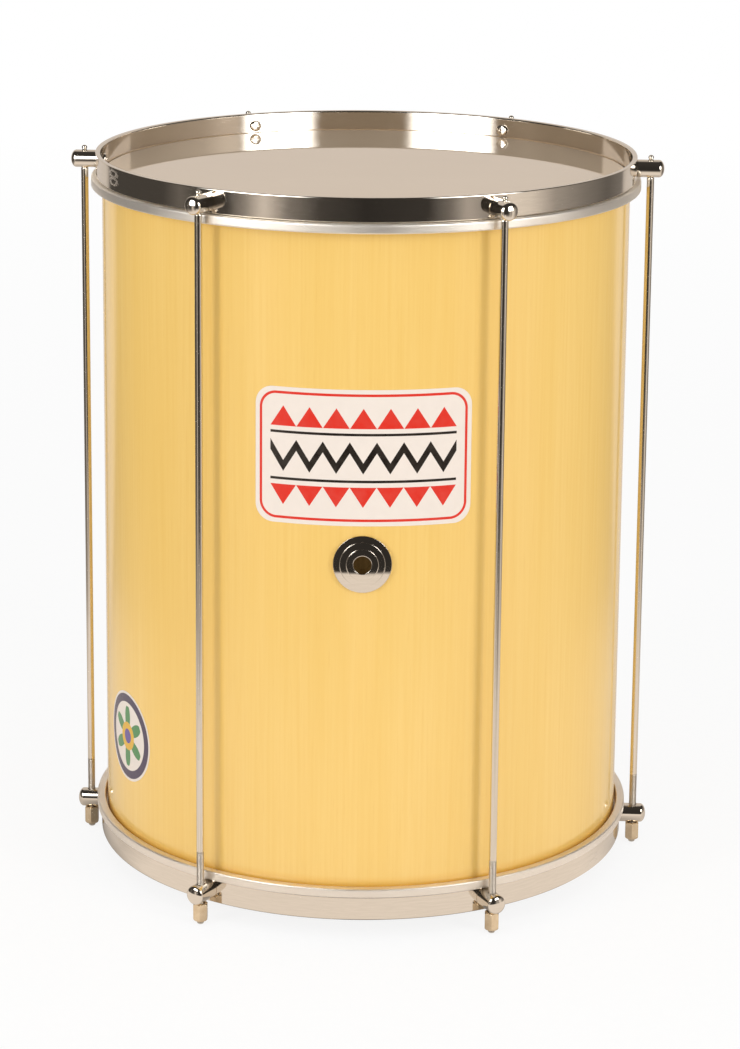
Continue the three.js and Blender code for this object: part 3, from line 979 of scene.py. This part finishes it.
def floor():
    """Pale paper with the drum's shadow. What is seen of it is mostly plain white, and wholly so
    from 4 m on, where its edge would show.
    """
    size = 9.0
    corners = [(-size, -size, 0), (size, -size, 0), (size, size, 0), (-size, size, 0)]
    mesh = bpy.data.meshes.new("floor")
    mesh.from_pydata(corners, [], [(0, 1, 2, 3)])
    mat = material("floor_paper", Roughness=0.9, Specular_IOR_Level=0.1)
    fibre = noise(mat, (90, 90, 90), 3.0)
    paper = ramp(mat, fibre, (0.3, (0.95, 0.95, 0.95)), (0.7, (0.98, 0.98, 0.98)))
    surface(mat, "Base Color", paper)
    glow = add(mat, "ShaderNodeEmission", {"Color": (1, 1, 1, 1), "Strength": 1.0})
    away = add(mat, "ShaderNodeVectorMath", {0: place(mat)}, operation="LENGTH").outputs["Value"]
    share = calc(mat, "MULTIPLY", seen_directly(mat), spread(mat, away, 1.0, 4.0, 0.87, 1.0))
    nodes = mat.node_tree.nodes
    shown = blended(mat, share, nodes["Principled BSDF"], glow)
    put(mat, nodes["Material Output"].inputs["Surface"], shown)
    mesh.materials.append(mat)
    linked("floor", mesh)


def glowing(name, points, glow, color=(1, 1, 1, 1), thin=False):
    """A card that only mirrors see, with its glow at each grid point. The room shows through a
    thin one where its glow is below 1.
    """
    vertices, faces = grid(points, close_rows=False, close_columns=False)
    mesh = bpy.data.meshes.new(name)
    mesh.from_pydata(vertices.tolist(), [], faces)
    obj = linked(name, mesh)
    float_attribute(obj, "glow", glow.ravel())
    mat = bpy.data.materials.new(name + "_card")
    mat.use_nodes = True
    mat.node_tree.nodes.clear()
    out = add(mat, "ShaderNodeOutputMaterial")
    level = attribute(mat, "glow")
    light = add(mat, "ShaderNodeEmission", {"Color": color, "Strength": level})
    shown = light.outputs[0]
    if thin:
        clear = add(mat, "ShaderNodeBsdfTransparent")
        shown = blended(mat, calc(mat, "MINIMUM", level, 1.0), clear, light)
    put(mat, out.inputs["Surface"], shown)
    mat.cycles.emission_sampling = "NONE"
    mesh.materials.append(mat)
    obj.visible_camera = False
    obj.visible_diffuse = False
    obj.visible_shadow = False


def surround():
    """The warm paper and the dim room past it, for the metal to mirror. The paper fades out over
    the floor, carries a painted shadow of the drum close to it, and turns up behind the drum.
    Elsewhere each azimuth has one glow, up the wall to a dark ceiling. Each grid row is
    reach * (sin t, -cos t) at its height.
    """
    turn = np.radians(np.linspace(-180, 180, 289))
    aside = np.abs(np.degrees(turn))
    behind = aside > 135
    paper_edge = PAPER_BEHIND / np.maximum(np.abs(np.cos(turn)), 0.5)
    far = np.where(behind, paper_edge, ROOM_RADIUS)
    steps, fade = np.array(PAPER).T
    steps, fade = steps[:, None], fade[:, None]
    run = np.linspace(0, 1, 7)[1:, None]
    flat = 0 * turn
    lying = np.minimum(steps, far)
    reach = np.concatenate([lying, far + 0 * run, far * (1 - 0.98 * run)])
    height = np.concatenate([0.001 + 0 * lying, CEILING * run + flat, CEILING + 0 * run + flat])
    points = np.stack([reach * np.sin(turn), -reach * np.cos(turn), height], -1)

    # The paper: it keeps its full glow straight ahead, and has the drum's shadow painted on it
    # close to the drum's sides
    ahead = np.clip(2 - aside / 3, 0, 1)
    strip = (steps < 1.26) * (steps > 0.26)
    side_shadow = np.clip((aside - 62) / 14, 0, 1) * np.clip((0.5 - steps) / 0.24, 0, 1)
    paper = (fade + (strip - fade) * ahead) * (1 - 0.3 * side_shadow)
    paper = np.concatenate([paper, np.zeros((2 * len(run), len(turn)))])
    # Painted shadow of the drum: the paper's glow dims by up to 0.3 towards the back
    shaded_paper_glow = PAPER_GLOW * (1 - 0.3 * np.clip((aside - 70) / 65, 0, 1))

    # The room: the wall dims towards its top, and the ceiling towards its middle
    wall = np.interp(np.degrees(turn), *np.array(ROOM).T) + 0 * reach
    rise = np.clip((height - 0.9) / 1.2, 0, 1)
    glow = np.where(behind, wall, wall + (WALL_TOP_GLOW - wall) * rise)
    glow = glow + (shaded_paper_glow - glow) * paper
    overhead = np.concatenate([0 * fade, 0 * run, run])
    glowing("surround", points, glow + (CEILING_GLOW - glow) * overhead, WARM)


def light_card(name, azimuth, distance, low, high, wide, glow):
    """The bright face of a softbox. Its glow falls off as a cube past |u|^6 + |v|^6 = 0.55^6."""
    across = np.linspace(-1, 1, 25)
    u, v = np.meshgrid(across, across)
    a = math.radians(azimuth)
    x = distance * math.sin(a) + u * wide / 2 * math.cos(a)
    y = -distance * math.cos(a) + u * wide / 2 * math.sin(a)
    z = (low + high) / 2 + v * (high - low) / 2
    edge = (u**6 + v**6) ** (1 / 6)
    falling = np.clip((1 - edge) / 0.45, 0, 1) ** 3
    glowing(name, np.stack([x, y, z], -1), glow * falling, thin=True)


def softbox(name, azimuth, distance, height, wide, tall, watts):
    light = bpy.data.lights.new(name, "AREA")
    light.shape = "RECTANGLE"
    light.size, light.size_y = wide, tall
    light.energy = watts
    obj = linked(name, light)
    a = math.radians(azimuth)
    obj.location = (distance * math.sin(a), -distance * math.cos(a), height)
    obj.rotation_euler = (math.pi / 2 - math.atan2(height - AIMED_AT, distance), 0, a)
    obj.visible_camera = False
    obj.visible_glossy = False


def dim_inside():
    """The little light that comes through the heads, seen in the vent."""
    light = bpy.data.lights.new("through_heads", "POINT")
    light.energy = INSIDE_WATTS
    light.color = (0.85, 1, 0.8)
    light.shadow_soft_size = 0.1
    obj = linked("through_heads", light)
    obj.location = (0, 0, VENT_HEIGHT * MM)
    obj.visible_glossy = False


def world():
    """White where it is seen, and a dimmer white light on the drum."""
    made = bpy.data.worlds.new("studio")
    made.use_nodes = True
    made.node_tree.nodes.clear()
    out = add(made, "ShaderNodeOutputWorld")
    white = (1, 1, 1, 1)
    shown = add(made, "ShaderNodeBackground", {"Color": white, "Strength": 1.0})
    lit = add(made, "ShaderNodeBackground", {"Color": white, "Strength": WORLD_LIGHT})
    put(made, out.inputs["Surface"], blended(made, seen_directly(made), lit, shown))
    bpy.context.scene.world = made


def camera():
    """Lens, place and tilt fitted to the photograph. Its axes are the columns of the turn: right
    and up are rolled about the line of sight.
    """
    height_px, focal_px, centre_px = 1049, 3094.74, 330
    tilt, roll = 0.2200, 0.0091
    from_rim = np.array([4.46, -2649.29, 1045.45])
    data = bpy.data.cameras.new("camera")
    data.sensor_fit = "AUTO"
    data.sensor_width = 36
    data.lens = focal_px / height_px * data.sensor_width
    data.shift_y = -(height_px / 2 - centre_px) / height_px
    obj = linked("camera", data)
    right = np.array([1.0, 0, 0])
    up = np.array([0, math.sin(tilt), math.cos(tilt)])
    back = np.array([0, -math.cos(tilt), math.sin(tilt)])
    turn = np.eye(4)
    turn[:3, 0] = math.cos(roll) * right + math.sin(roll) * up
    turn[:3, 1] = -math.sin(roll) * right + math.cos(roll) * up
    turn[:3, 2] = back
    turn[:3, 3] = (from_rim + [0, 0, BOTTOM_RIM]) * MM
    obj.matrix_world = Matrix(turn.tolist())
    bpy.context.scene.camera = obj


camera()
make_drum()
world()
floor()
surround()
for name, measures in SOFTBOX_FACES.items():
    light_card(name, *measures)
for name, measures in SOFTBOXES.items():
    softbox(name, *measures)
dim_inside()

view = bpy.context.scene.view_settings
view.view_transform = "Standard"
